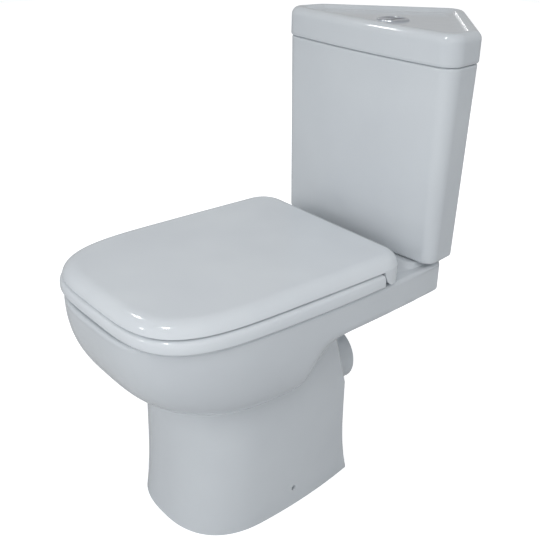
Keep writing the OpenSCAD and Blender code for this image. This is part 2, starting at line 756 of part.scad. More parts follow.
module wing_nut(bore) {
    difference() {
        union() {
            cylinder(r = bore + 4, h = wing_nut_h - 4);
            for (side = [0, 1]) mirror([side, 0, 0])
                translate([bore + 2, -1.5, 0]) cube([11, 3, wing_nut_h]);
        }
        translate([0, 0, -eps]) cylinder(r = bore, h = wing_nut_h + 2 * eps);
    }
}

module hinge_wing_nuts() {
    color(white_plastic) at_hinges()
        translate([0, 0, deck_low - cone_h]) mirror([0, 0, 1]) wing_nut(pin_r);
}

// ---- Push buttons ----

module at_valve(z) {
    placed() translate([0, valve_y, z]) children();
}

module button_bezel() {
    bezel_t = 3;
    in = button_r + 0.4;
    color(chrome) at_valve(dish_z) rotate_extrude()
        polygon([[in, 0], [bezel_r, 0], [bezel_r, 1], [bezel_r - 2, bezel_t], [in + 1, bezel_t], [in, bezel_t - 1]]);
}

module button_housing() {
    h = dish_z - housing_low;
    color(white_plastic) at_valve(housing_low) difference() {
        cylinder(r = button_hole_r - 0.5, h = h);
        translate([0, 0, housing_floor]) cylinder(r = button_r + 0.4, h = h);
        pair(rod_x) translate([0, 0, -eps]) cylinder(r = rod_r + 0.4, h = h);
    }
}

module housing_nut() {
    color(white_plastic) at_valve(lid_under - 8) tube(bezel_r + 3, button_hole_r - 0.5, 8);
}

// The part of the button disc on one side of the split, from x0 to x1
module button_cap(x0, x1) {
    intersection() {
        cylinder(r = button_r, h = button_top - button_low);
        translate([x0, -button_r, -eps]) cube([x1 - x0, 2 * button_r, button_top]);
    }
}

module full_button() {
    color(chrome) at_valve(button_low) button_cap(-button_r - eps, button_split - 0.4);
}

module half_button() {
    color(chrome) at_valve(button_low) button_cap(button_split + 0.4, button_r + eps);
}

module push_rod(x) {
    color(white_plastic) at_valve(rod_low) translate([x, 0, 0]) cylinder(r = rod_r, h = button_low - rod_low);
}

module full_rod() {
    push_rod(-rod_x);
}

module half_rod() {
    push_rod(rod_x);
}

module coil_spring(x) {
    steps = 14 * spring_turns;
    low = housing_low + housing_floor + spring_wire;
    rise = button_low - spring_wire - low;
    sides = 6;
    path = [for (i = [0:steps], k = [0:sides - 1])
        let(a = 360 * spring_turns * i / steps, b = 360 * k / sides, r = spring_r + spring_wire * cos(b))
        [r * cos(a), r * sin(a), low + rise * i / steps + spring_wire * sin(b)]];
    color(steel) placed() translate([x, valve_y, 0]) polyhedron(path, concat(
        [[for (k = [0:sides - 1]) k]],
        [for (i = [0:steps - 1], k = [0:sides - 1])
            let(a = i * sides + k, b = i * sides + (k + 1) % sides)
            each [[a, a + sides, b + sides], [a, b + sides, b]]],
        [[for (k = [sides - 1:-1:0]) steps * sides + k]]
    ));
}

module full_spring() {
    coil_spring(-rod_x);
}

module half_spring() {
    coil_spring(rod_x);
}

// ---- Flush valve ----

seal_t = 2;
disc_t = 4;
disc_r = tail_r - 2;
cage_r = tail_r + 4;
cage_post_r = 2.5;
guide_t = 6;
lift_gap = 0.3;
nut_h = 13;

module flush_valve_base() {
    tail_low = recess_low - 4;
    color(white_plastic) at_valve(0) {
        difference() {
            union() {
                translate([0, 0, tail_low]) cylinder(r = tail_r, h = seat_z - tail_low);
                translate([0, 0, flange_low]) cylinder(r = tail_r + 7, h = flange_t);
            }
            translate([0, 0, tail_low - eps]) cylinder(r = tail_r - 4, h = seat_z);
        }
        for (t = [45:90:315]) rotate(t)
            translate([cage_r, 0, flange_low + flange_t - 0.5])
                cylinder(r = cage_post_r, h = guide_z - flange_low - flange_t + 1);
        translate([0, 0, guide_z]) tube(tail_r + 7, tail_r, guide_t);
    }
}

module flush_valve_washer() {
    color(rubber) at_valve(floor_top) tube(tail_r + 7, tail_r, washer_t);
}

module flush_valve_tower() {
    low = guide_z + guide_t;
    color(white_plastic) at_valve(0) {
        translate([0, 0, low]) tube(tail_r + 7, tube_r + slide_gap, 4);
        for (side = [-1, 1])
            translate([side * (tail_r - 4) - 4, -6, low + 3]) cube([8, 12, tower_top - low - 4]);
        translate([0, 0, tower_top - 8]) difference() {
            cylinder(r = tail_r + 1, h = 8);
            pair(rod_x) translate([0, 0, -eps]) cylinder(r = rod_r + slide_gap, h = 10);
        }
    }
}

// The overflow tube with the disc that closes the valve
module float_tube() {
    low = seat_z + lift_gap + seal_t;
    color(float_plastic) at_valve(low) difference() {
        union() {
            cylinder(r = disc_r, h = disc_t);
            cylinder(r = tube_r, h = tube_top - low);
        }
        translate([0, 0, -eps]) cylinder(r = tube_r - 2, h = tube_top);
    }
}

module valve_seal() {
    color(rubber) at_valve(seat_z + lift_gap) tube(disc_r + 1, tube_r, seal_t);
}

module flush_valve_nut() {
    color(white_plastic) at_valve(plate_low - nut_h) difference() {
        cylinder(r = tail_r + 10, h = nut_h, $fn = 8);
        translate([0, 0, -eps]) cylinder(r = tail_r, h = nut_h + 2 * eps);
    }
}

plate_margin = 14;
plate_reach = 44;
plate_slant = 20;
module coupling_plate() {
    x = bolt_pitch / 2;
    color(steel) placed() translate([0, 0, plate_low]) linear_extrude(plate_t) difference() {
        polygon([
            [-x - plate_margin, bolt_y - plate_margin], [x + plate_margin, bolt_y - plate_margin],
            [x + plate_margin, bolt_y + plate_margin], [x - plate_slant, valve_y + plate_reach],
            [-x + plate_slant, valve_y + plate_reach], [-x - plate_margin, bolt_y + plate_margin]
        ]);
        translate([0, valve_y]) circle(r = tail_r + 0.5);
        pair(x) translate([0, bolt_y]) circle(r = bolt_r + 0.5);
    }
}

module doughnut_washer() {
    color(rubber) at_valve(recess_low) tube(recess_r - 0.5, tail_r + 10.5, plate_low - recess_low);
}

// ---- Bolts that hold the cistern to the pan ----

seal_h = 5;
head_h = 6;
steel_washer_t = 3;

module at_bolts(z) {
    placed() pair(bolt_pitch / 2) translate([0, bolt_y, z]) children();
}

module cistern_bolts() {
    low = deck_low - 26;
    head_z = floor_top + seal_h;
    color(steel) at_bolts(0) {
        translate([0, 0, low]) cylinder(r = bolt_r, h = head_z - low + eps);
        translate([0, 0, head_z]) cylinder(r = 2 * bolt_r, h = head_h, $fn = 6);
    }
}

module bolt_ring(r_out, h) {
    tube(r_out, bolt_r, h);
}

module bolt_seals() {
    color(rubber) at_bolts(floor_top) bolt_ring(bolt_r + 6, seal_h);
}

module bolt_spacers() {
    color(rubber) at_bolts(rim_h + well_h) bolt_ring(bolt_r + 6, plate_low - rim_h - well_h);
}

module bolt_washers() {
    color(steel) at_bolts(deck_low - steel_washer_t) bolt_ring(bolt_r + 6, steel_washer_t);
}

module bolt_wing_nuts() {
    color(steel) at_bolts(deck_low - steel_washer_t) mirror([0, 0, 1]) wing_nut(bolt_r);
}

// ---- Fill valve ----

float_r = 27;
float_wall = 2.5;
link_r = 2;
lever_half_w = 2;
cheek_t = 3;
lever_pin_r = 2;
slot_half = 4;
collar_gap = 1.5;
inlet_nut_h = 12;

module fill_valve() {
    tail_low = tank_low - 35;
    tail_free = 19;
    nut_low = tank_low - inlet_nut_h;
    bore = 5;
    color(white_plastic) placed() {
        translate([0, fill_y, 0]) difference() {
            union() {
                translate([0, 0, tail_low]) cylinder(r = inlet_r, h = tail_free);
                translate([0, 0, tail_low]) cylinder(r = inlet_r - 0.6, h = flange_low - tail_low);
                translate([0, 0, nut_low]) cylinder(r = inlet_r, h = flange_low - nut_low + eps);
                translate([0, 0, flange_low]) cylinder(r = inlet_r + 7, h = flange_t);
                translate([0, 0, flange_low + eps]) cylinder(r = riser_r, h = head_low - flange_low);
                translate([0, 0, head_low]) cylinder(r = riser_r + 8, h = head_top - head_low);
            }
            translate([0, 0, tail_low - eps]) cylinder(r = bore, h = head_low - tail_low + 8);
            translate([0, 0, head_low + 3]) rotate([0, 90, 0]) cylinder(r = 2.5, h = 2 * riser_r + eps);
        }
        // Cheeks that carry the lever
        for (side = [0, 1]) mirror([side, 0, 0])
            difference() {
                translate([lever_half_w + 0.5, lever_y - 5, head_top - eps])
                    cube([cheek_t, 10, lever_z - head_top + 5 + eps]);
                translate([0, lever_y, lever_z]) x_bar(0, 4 * lever_half_w, lever_pin_r);
            }
    }
}

module fill_valve_washer() {
    color(rubber) placed() translate([0, fill_y, floor_top]) tube(inlet_r + 7, inlet_r, washer_t);
}

module inlet_nut() {
    color(white_plastic) placed() translate([0, fill_y, tank_low - inlet_nut_h]) difference() {
        cylinder(r = inlet_r + 7, h = inlet_nut_h, $fn = 6);
        translate([0, 0, -eps]) cylinder(r = inlet_r, h = inlet_nut_h + 2 * eps);
    }
}

// The float slides on the riser and lifts the lever by two collars on its link
module float_cup() {
    color(float_plastic) placed() {
        translate([0, fill_y, float_low]) difference() {
            cylinder(r = float_r, h = float_top - float_low);
            translate([0, 0, -eps]) difference() {
                cylinder(r = float_r - float_wall, h = float_top - float_low - float_wall + eps);
                translate([0, 0, -eps]) cylinder(r = riser_r + slide_gap + float_wall, h = float_top);
            }
            translate([0, 0, -eps]) cylinder(r = riser_r + slide_gap, h = float_top);
        }
        translate([0, link_y, float_top - eps]) {
            cylinder(r = link_r, h = lever_z - float_top + lever_t + 6);
            for (z = [lever_z - lever_t / 2 - collar_gap - 2, lever_z + lever_t / 2 + collar_gap])
                translate([0, 0, z - float_top + eps]) cylinder(r = 2 * link_r, h = 2);
        }
    }
}

module float_lever() {
    front = link_y - slot_half - 4;
    color(white_plastic) placed() difference() {
        union() {
            translate([-lever_half_w, link_y + slot_half + 1, lever_z - lever_t / 2])
                cube([2 * lever_half_w, lever_y - link_y - slot_half - 1, lever_t]);
            translate([-2 * lever_half_w - 2, front, lever_z - lever_t / 2])
                cube([4 * lever_half_w + 4, 2 * slot_half + 8, lever_t]);
            translate([0, lever_y, lever_z]) x_bar(-lever_half_w, lever_half_w, 2 * lever_pin_r);
        }
        translate([-link_r - 1, link_y - slot_half, lever_z - lever_t])
            cube([2 * link_r + 2, 2 * slot_half, 2 * lever_t]);
        translate([0, lever_y, lever_z]) x_bar(-2 * lever_half_w, 2 * lever_half_w, lever_pin_r + pin_clear);
    }
}

module lever_pin() {
    end = lever_half_w + 0.5 + cheek_t;
    color(steel) placed() translate([0, lever_y, lever_z]) x_bar(-end, end, lever_pin_r);
}

pan();
cistern();
cistern_lid();
seat_ring();
ring_buffers();
seat_lid();
lid_buffers();
hinge_posts();
hinge_gaskets();
hinge_pins();
hinge_cone_washers();
hinge_wing_nuts();
button_bezel();
button_housing();
housing_nut();
full_button();
half_button();
full_spring();
half_spring();
full_rod();
half_rod();
flush_valve_base();
flush_valve_washer();
flush_valve_tower();
float_tube();
valve_seal();
flush_valve_nut();
coupling_plate();
doughnut_washer();
cistern_bolts();
bolt_seals();
bolt_spacers();
bolt_washers();
bolt_wing_nuts();
fill_valve();
fill_valve_washer();
inlet_nut();
float_cup();
float_lever();
lever_pin();
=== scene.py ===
import json
import math

import bmesh
import bpy
from mathutils import Matrix, Vector


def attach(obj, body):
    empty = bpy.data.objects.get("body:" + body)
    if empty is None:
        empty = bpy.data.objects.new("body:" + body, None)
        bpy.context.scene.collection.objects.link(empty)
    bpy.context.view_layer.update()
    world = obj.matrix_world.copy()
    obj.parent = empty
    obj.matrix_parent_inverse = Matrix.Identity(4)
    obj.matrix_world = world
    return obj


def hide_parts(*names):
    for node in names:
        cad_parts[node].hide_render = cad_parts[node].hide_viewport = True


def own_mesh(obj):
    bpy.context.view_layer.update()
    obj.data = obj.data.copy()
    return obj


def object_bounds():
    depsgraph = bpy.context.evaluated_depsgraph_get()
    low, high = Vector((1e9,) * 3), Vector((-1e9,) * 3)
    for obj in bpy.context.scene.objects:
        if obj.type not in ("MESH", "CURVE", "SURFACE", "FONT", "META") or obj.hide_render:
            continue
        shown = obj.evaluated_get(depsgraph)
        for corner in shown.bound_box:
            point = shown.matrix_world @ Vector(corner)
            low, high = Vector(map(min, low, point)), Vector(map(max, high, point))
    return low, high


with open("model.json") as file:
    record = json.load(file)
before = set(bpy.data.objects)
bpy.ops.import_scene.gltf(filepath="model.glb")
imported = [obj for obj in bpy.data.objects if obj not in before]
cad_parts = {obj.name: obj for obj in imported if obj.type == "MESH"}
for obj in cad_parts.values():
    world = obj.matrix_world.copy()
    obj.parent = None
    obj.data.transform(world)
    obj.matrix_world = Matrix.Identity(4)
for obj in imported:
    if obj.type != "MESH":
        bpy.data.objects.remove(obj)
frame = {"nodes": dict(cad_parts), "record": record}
cad_low, cad_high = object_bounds()
nodes = frame["nodes"]
scene = bpy.context.scene

# ---- Camera ----
# A plain studio view from the front right and above the seat, as a catalogue
# shows such a toilet. Sizes in this file are millimetres, measured along Y from
# the cistern's front, and cistern_front is where that plane stands on the floor.
MM = 0.001
pan_reach = 501
cistern_front = Vector((0, pan_reach + cad_low.y / MM, 0))


def on_floor(x, y, z):
    return (Vector((x, y, z)) + cistern_front) * MM


picture_px, focal_px, shift_px = 540, 833.43, (-2.51, -14.41)
eye = (960.53, -961.32, 973.86)
turn, tilt, roll = math.radians(50.36), math.radians(24.25), math.radians(1.23)
right = Vector((math.cos(turn), math.sin(turn), 0))
back = Vector((math.sin(turn) * math.cos(tilt), -math.cos(turn) * math.cos(tilt), math.sin(tilt)))
up = back.cross(right)
cam_x = right * math.cos(roll) + up * math.sin(roll)
cam_y = up * math.cos(roll) - right * math.sin(roll)
camera_data = bpy.data.cameras.new("camera")
camera_data.sensor_width = 36.0
camera_data.lens = focal_px / picture_px * camera_data.sensor_width
camera_data.shift_x, camera_data.shift_y = (px / picture_px for px in shift_px)
camera_data.clip_start = 0.05
camera = bpy.data.objects.new("camera", camera_data)
scene.collection.objects.link(camera)
camera.matrix_world = Matrix.Translation(on_floor(*eye)) @ Matrix((cam_x, cam_y, back)).transposed().to_4x4()
scene.camera = camera
scene.view_settings.view_transform = "Standard"


# ---- Glazed ceramic ----
# Vitreous china with a clear bluish-white glaze. The glaze pools a little, so its
# tint drifts over a hand's width, and it sets with a faint ripple and orange peel.
class Value:
    """A number or colour that runs through a material's nodes."""

    def __init__(self, tree, socket):
        self.tree, self.socket = tree, socket

    def math(self, operation, other):
        return node(self.tree, "ShaderNodeMath", {"operation": operation}, {0: self, 1: other})

    def __add__(self, other):
        return self.math("ADD", other)

    def __mul__(self, other):
        return self.math("MULTIPLY", other)

    def __sub__(self, other):
        return self.math("SUBTRACT", other)

    __radd__ = __add__


def node(tree, kind, settings=None, inputs=None, out=0):
    made = tree.nodes.new(kind)
    for key, value in (settings or {}).items():
        if key == "stops":
            ramp = made.color_ramp.elements
            while len(ramp) < len(value):
                ramp.new(1.0)
            for stop, (at, colour) in zip(ramp, value):
                stop.position, stop.color = at, (*colour, 1)
        else:
            setattr(made, key, value)
    for key, value in (inputs or {}).items():
        if isinstance(value, Value):
            tree.links.new(value.socket, made.inputs[key])
        else:
            made.inputs[key].default_value = value
    return Value(tree, made.outputs[out])


def finish_of(name, metallic=0.0, coat=0.0, coat_roughness=0.03, specular=0.5):
    made = bpy.data.materials.new(name)
    made.use_nodes = True
    tree = made.node_tree
    shader = tree.nodes["Principled BSDF"]
    shader.inputs["Metallic"].default_value = metallic
    shader.inputs["Coat Weight"].default_value = coat
    shader.inputs["Coat Roughness"].default_value = coat_roughness
    shader.inputs["Specular IOR Level"].default_value = specular
    return made, tree, shader


def drive(tree, shader, **links):
    for key, value in links.items():
        tree.links.new(value.socket, shader.inputs[key.replace("_", " ")])


def linear(r, g, b):
    return tuple(pow((c / 255 + 0.055) / 1.055, 2.4) for c in (r, g, b))


def grain(tree, scale, detail=2.0, rough=0.5):
    place = node(tree, "ShaderNodeTexCoord", out=3)
    return node(tree, "ShaderNodeTexNoise", {}, {"Vector": place, "Scale": scale, "Detail": detail,
                                                "Roughness": rough})


def glaze_finish(name, pale, deep, ripple):
    made, tree, shader = finish_of(name, coat=0.6)
    pooled = grain(tree, 5.0, 3.0)
    speck = grain(tree, 900.0, 1.0)
    tint = node(tree, "ShaderNodeValToRGB", {"stops": [(0.3, deep), (0.7, pale)]},
                {"Fac": pooled * 0.92 + speck * 0.08})
    roughness = 0.09 + grain(tree, 14.0) * 0.07
    waves = grain(tree, 22.0, 1.0) * ripple + grain(tree, 420.0, 1.0) * 0.03
    bump = node(tree, "ShaderNodeBump", {}, {"Height": waves, "Strength": 0.25, "Distance": 0.0012})
    drive(tree, shader, Base_Color=tint, Roughness=roughness, Normal=bump)
    return made


china = glaze_finish("china_glaze", linear(207, 212, 216), linear(200, 205, 210), 1.0)

# ---- Pan ----
# One slip-cast ceramic body: a skirted pedestal that spreads at the floor, the
# bowl with its rolled rim, the deck under the seat hinge and the cistern, and the
# waste spigot. It is open underneath and behind, and screwed down from the sides.
rim_h, rim_half_w, rim_y, rim_square, rim_edge_r = 398, 182, -252, 3.2, 6
shelf_half_w, shelf_back, shelf_corner, shelf_tail = 165, 66, 10, (77, 150)
foot_half_w, foot_y, foot_reach, foot_square = 123, -270, 124, 2.5
foot_back_half_w, foot_back, flare_h = 104, -63, 140
waist_reach, waist_back, waist_h, neck_back, neck_corner = 115, -77, 185, -99, 16
front_steps, side_steps = 30, 26


def d_line(a, y, b, square, end_w, back_y, corner, tail=None):
    """A D outline from its front centre: curved front, sides that draw in, rear corners, back."""
    swing = 45 if tail else 90
    half = []
    for i in range(front_steps + 1):
        t = math.pi / 2 * i / front_steps
        half.append((a * math.sin(t) ** (2 / square), y - b * max(math.cos(t), 0) ** (2 / square)))
    for i in range(1, side_steps + 1):
        u = i / side_steps
        half.append((a + (end_w - a) * u * u, y + (back_y - corner - y) * u))
    for i in range(1, 10):
        t = math.radians(swing * i / 9)
        half.append((end_w - corner + corner * math.cos(t), back_y - corner + corner * math.sin(t)))
    start = half[-1]
    end = tail or (start[0] / 2, back_y)
    for u in (0.06, 0.5, 0.94, 1):
        half.append((start[0] + (end[0] - start[0]) * u, start[1] + (end[1] - start[1]) * u))
    return half


def loop_at(half, z):
    """A closed ring of points from half an outline; z is one height or one for each point."""
    heights = z if isinstance(z, list) else [z] * len(half)
    ring = [(x, y, h) for (x, y), h in zip(half, heights)]
    return ring + [(-x, y, h) for x, y, h in reversed(ring) if x > 0.001]


def loft(rings, closed=False):
    """A skin grown ring by ring, capped at both ends, or joined to its start if it is closed."""
    bm = bmesh.new()
    points = [bm.verts.new(on_floor(*p)) for p in rings[0]]
    loop = [bm.edges.new((p, points[(i + 1) % len(points)])) for i, p in enumerate(points)]
    if not closed:
        bmesh.ops.contextual_create(bm, geom=loop)
    for ring in rings[1:] + rings[:1] * closed:
        grown = bmesh.ops.extrude_edge_only(bm, edges=loop)["geom"]
        fresh = {g for g in grown if isinstance(g, bmesh.types.BMVert)}
        points = [next(e.other_vert(p) for e in p.link_edges if e.other_vert(p) in fresh) for p in points]
        for point, place in zip(points, ring):
            point.co = on_floor(*place)
        loop = [g for g in grown if isinstance(g, bmesh.types.BMEdge) and fresh.issuperset(g.verts)]
    if closed:
        bmesh.ops.remove_doubles(bm, verts=bm.verts, dist=1e-6)
    else:
        bmesh.ops.contextual_create(bm, geom=loop)
    bmesh.ops.recalc_face_normals(bm, faces=bm.faces)
    return bm


def soft_edges(bm, sharp=32):
    """Smooth shading that stops at edges sharper than this many degrees."""
    for face in bm.faces:
        face.smooth = True
    for edge in bm.edges:
        edge.smooth = len(edge.link_faces) == 2 and edge.calc_face_angle(0) < math.radians(sharp)


def piece(name, bm, body, material, stands_for=()):
    if bm.calc_volume(signed=True) < 0:
        bmesh.ops.reverse_faces(bm, faces=bm.faces)
    mesh = bpy.data.meshes.new(name)
    bm.to_mesh(mesh)
    bm.free()
    made = bpy.data.objects.new(name, mesh)
    scene.collection.objects.link(made)
    mesh.materials.append(material)
    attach(made, body)
    if stands_for:
        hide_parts(*stands_for)
    return made


def cut(bm, *tools, keep="DIFFERENCE"):
    """The first bmesh after each tool is taken out of it, or joined to it."""
    def thing(form):
        mesh = bpy.data.meshes.new("form")
        form.to_mesh(mesh)
        form.free()
        made = bpy.data.objects.new("form", mesh)
        scene.collection.objects.link(made)
        return made
    base = thing(bm)
    helpers = [thing(tool) for tool in tools]
    for helper in helpers:
        step = base.modifiers.new("cut", "BOOLEAN")
        step.operation, step.solver, step.object = keep, "EXACT", helper
    bpy.context.view_layer.update()
    result = bmesh.new()
    result.from_object(base, bpy.context.evaluated_depsgraph_get())
    for made in (base, *helpers):
        mesh = made.data
        bpy.data.objects.remove(made)
        bpy.data.meshes.remove(mesh)
    return result


def rod(start, end, r, segments=64):
    """A plain round bar between two points."""
    bm = bmesh.new()
    a, b = on_floor(*start), on_floor(*end)
    turned = (b - a).to_track_quat("Z", "Y").to_matrix().to_4x4()
    bmesh.ops.create_cone(bm, cap_ends=True, segments=segments, radius1=r * MM, radius2=r * MM,
                          depth=(b - a).length, matrix=Matrix.Translation((a + b) / 2) @ turned)
    return bm


def slab(outline, z0, z1):
    """A plate of this outline between two heights."""
    bm = bmesh.new()
    base = bm.faces.new([bm.verts.new(on_floor(x, y, z0)) for x, y in outline])
    grown = bmesh.ops.extrude_face_region(bm, geom=[base])["geom"]
    bmesh.ops.translate(bm, vec=(0, 0, (z1 - z0) * MM),
                        verts=[g for g in grown if isinstance(g, bmesh.types.BMVert)])
    bmesh.ops.recalc_face_normals(bm, faces=bm.faces)
    return bm


def rounded(edge):
    """Both sides of a half outline as one closed line."""
    return edge + [(-x, y) for x, y in reversed(edge) if x > 0.001]


def rim_line(inset):
    tail = (shelf_tail[0] - inset / 2, shelf_tail[1] - inset)
    return d_line(rim_half_w - inset, rim_y, pan_reach + rim_y - inset, rim_square, shelf_half_w - inset,
                  shelf_back - inset, shelf_corner, tail)


rim = rim_line(0)
foot = d_line(foot_half_w, foot_y, foot_reach, foot_square, foot_back_half_w, foot_back, shelf_corner)
waist, neck = (d_line(foot_half_w - 1, foot_y, waist_reach, foot_square, foot_back_half_w - 1, end, corner)
               for end, corner in ((waist_back, shelf_corner), (neck_back, neck_corner)))


def between(a, b, t):
    """The point or number that lies this share of the way from a to b."""
    if isinstance(a, tuple):
        return tuple(between(m, n, t) for m, n in zip(a, b))
    return a + (b - a) * t


def limit(t):
    return min(max(t, 0), 1)


def ease(t):
    return limit(t) ** 2 * (3 - 2 * limit(t))


# The bowl leaves the pedestal along a crease that climbs to the shelf behind
low_front, low_side, low_shelf, climb_start, climb_power = 256, 246, 290, -184, 0.85
climb = [limit((y - climb_start) / (neck_back - climb_start)) for x, y in neck]
crease = [between(between(low_front, low_side, ease(i / front_steps)), low_shelf, share ** climb_power)
          for i, share in enumerate(climb)]
# Fullness of the bowl's curve in front and at its sides, and the slant under the shelf
full_front, full_side = (2.36, 2.14), (2.48, 2.06)
knee_z, knee_share, shelf_under = 302, 0.16, 349
shelf_from, shelf_full = -225, -135


def shelf_share(y):
    return ease((y - shelf_from) / (shelf_full - shelf_from))


def bowl_ring(s):
    """The bowl's outside at a depth of s, from 0 at the rim to 1 at the crease."""
    ring, heights = [], []
    for i, (low, high, base) in enumerate(zip(neck, rim, crease)):
        p, q = between(full_front, full_side, ease(i / front_steps))
        z = between(rim_h, base, s)
        reach = max(1 - s ** p, 0) ** (1 / q)
        if z > knee_z:
            slant = between(knee_share, 1, limit((z - knee_z) / (shelf_under - knee_z)))
        else:
            slant = knee_share * (z - base) / (knee_z - base)
        ring.append(between(low, high, between(reach, slant, shelf_share(high[1]))))
        heights.append(z)
    return loop_at(ring, heights)


def fillet_ring(out, drop):
    """The small hollow curve that eases the bowl's underside into the pedestal."""
    ring = [between(low, high, out * (1 - shelf_share(high[1]))) for low, high in zip(neck, rim)]
    return loop_at(ring, [base - drop for base in crease])


# The mouth of the bowl, the throat under its lip, and the sump
mouth_half_w, mouth_y, mouth_reach, mouth_back = 110, -291, 159, -150
lip_low, throat_z, throat_out = 370, 364, 12
sump_r, sump_y, sump_low = 30, -246, 84


def mouth_line(out):
    return d_line(mouth_half_w + out, mouth_y, mouth_reach + out, 2.5, mouth_half_w - 15 + out, mouth_back + out, 70)


sump = d_line(sump_r + 2, sump_y, sump_r, 2, sump_r, sump_y + sump_r, sump_r - 4)
pedestal = []
for z in (0, 4, 10, 18, 28, 40, 55, 75, 100, flare_h):
    spread = (1 - z / flare_h) ** 2.7
    pedestal.append(loop_at([between(n, f, spread) for n, f in zip(waist, foot)], z))
pedestal.append(loop_at(waist, waist_h))
fillet = [fillet_ring(0, 9), fillet_ring(0.012, 5.5), fillet_ring(0.045, 2.4), fillet_ring(0.1, 0.6)]
bowl = [bowl_ring(math.sin(math.radians(90 * k / 36))) for k in range(33, 0, -1)]
edge = [loop_at(rim_line(rim_edge_r * (1 - math.cos(t))), rim_h - rim_edge_r * (1 - math.sin(t)))
        for t in (math.pi / 2 * k / 6 for k in range(7))]
inside = [loop_at(mouth_line(out), z) for out, z in
          ((6, rim_h), (4, rim_h), (1.2, rim_h - 1.2), (0, rim_h - 4), (0, lip_low + 2), (2, lip_low),
           (throat_out, throat_z))]
for depth, narrow in ((0.06, 0.01), (0.12, 0.03), (0.19, 0.07), (0.26, 0.15), (0.33, 0.31), (0.41, 0.53),
                      (0.49, 0.64), (0.58, 0.72), (0.67, 0.8), (0.76, 0.86), (0.84, 0.91), (0.91, 0.95), (1, 1)):
    line = [between(m, s, narrow) for m, s in zip(mouth_line(throat_out), sump)]
    inside.append(loop_at(line, between(throat_z, sump_low, depth)))
pan_skin = loft(pedestal + fillet + bowl + edge + inside)


# The bed under the cistern, which rises softly from the deck
def bed_ring(out, rise):
    w, front = shelf_half_w - 18 + out, 2 - 1.6 * out
    return loop_at([(0, front), (0.5 * w, front + 0.9), (w - 14, front + 3.6), (w - 8, front + 5.5),
                    (w - 4, front + 8), (w - 1.2, front + 11.8), (w, front + 17), (w, shelf_back - 14 + 0.4 * out),
                    (shelf_tail[0] - 6 + 0.4 * out, shelf_tail[1] - 10 + out), (0, shelf_tail[1] - 10 + out)],
                   rim_h + rise)


bed_steps = ((8, -10), (8, -0.4), (7.4, -0.1), (6.5, 0.7), (5.2, 2.2), (3, 4.2), (1.8, 5.4), (1, 6.3), (0, 6.8),
             (-1.5, 7))
bed = loft([bed_ring(out, rise) for out, rise in bed_steps])
# The spigot, relieved behind its sealing length
outlet_h, outlet_r, outlet_bore, outlet_end, seal_back = 176, 50, 41, -10, -60
spigot = rod((0, seal_back, outlet_h), (0, outlet_end, outlet_h), outlet_r, 96)
relief = rod((0, neck_back - 20, outlet_h), (0, seal_back + 1, outlet_h), outlet_r - 1, 96)
pan_form = cut(pan_skin, bed, spigot, relief, keep="UNION")
# The hollow of the skirt, around the block that holds the trap
skirt_t, skirt_h, core_half_w, core_front, core_low = 13, 168, 62, -335, 62
skirt = slab(rounded(d_line(foot_half_w - 1 - skirt_t, foot_y, waist_reach - skirt_t, foot_square,
                            foot_back_half_w - 1 - skirt_t, foot_back + 3 * skirt_t, 2)), -1, skirt_h)
core = slab([(-core_half_w, core_front), (core_half_w, core_front), (core_half_w, outlet_end + 1),
             (-core_half_w, outlet_end + 1)], core_low, skirt_h + 32)
hollow = cut(skirt, core)


def both_sides(outline, z0, z1):
    """A plate on the right and its mirror image on the left."""
    return [slab([(side * x, y) for x, y in outline][::side], z0, z1) for side in (1, -1)]


# Rooms under the deck for the nuts, and the ways into them from below
room_in, room_out, room_front, room_back, way_out, way_back = 54, 144, -64, 40, 98, 100
rooms = both_sides([(room_in, room_front), (room_out, room_front), (room_out, room_back), (way_out, way_back),
                    (room_in, way_back)], rim_h - 49, rim_h - 14)
ways = both_sides([(room_in, room_front), (way_out, room_front), (way_out, way_back), (room_in, way_back)],
                  rim_h - 128, rim_h - 24)
# What the cistern's fittings, the waste and the floor screws pass through
valve_y, trap_r, trap_h, screw_y, screw_h = 80, 33, 112, -208, 35
well = slab([(-99, 51), (99, 51), (99, 129), (-99, 129)], rim_h + 3, rim_h + 22)
valve_seat = rod((0, valve_y, rim_h - 20), (0, valve_y, rim_h + 22), 46, 64)
inlet = rod((0, valve_y, rim_h - 47), (0, valve_y, rim_h - 8), 33, 64)
outlet = rod((0, -98, outlet_h), (0, outlet_end + 1, outlet_h), outlet_bore, 96)
throat = rod((0, -238, trap_h), (0, -150, trap_h), trap_r, 64)
side_hole = rod((-130, screw_y, screw_h), (130, screw_y, screw_h), 4.5, 32)
pan_form = cut(pan_form, hollow, *rooms, *ways, well, valve_seat, inlet, outlet, throat, side_hole)
soft_edges(pan_form)
piece("pan_body", pan_form, "fixed", china, ["pan"])

# ---- Cistern ----
# A wedge-shaped ceramic tank for the corner of a room: a slightly bowed front,
# short ends and two long walls at 45 degrees that meet in a rounded apex. Its
# sides draw in towards the bottom, and it stands clear of the deck on washers.
tank_half_w, front_r, end_r, apex_r = 184, 26, 17, 32
end_len, end_draw, front_bow = 40, 5.5, 7.8
bow_turn = math.atan(2 * front_bow / (tank_half_w - front_r))
front_c = Vector((tank_half_w - front_r, front_bow + front_r * math.cos(bow_turn)))
end_c = Vector((tank_half_w - end_draw - end_r, front_c.y + end_len))
apex_c = Vector((0, end_c.x + end_c.y + math.sqrt(2) * (end_r - apex_r)))
end_turn = (math.atan2(end_c.y - front_c.y, end_c.x - front_c.x) - math.pi / 2
            + math.asin((front_r - end_r) / (end_c - front_c).length))


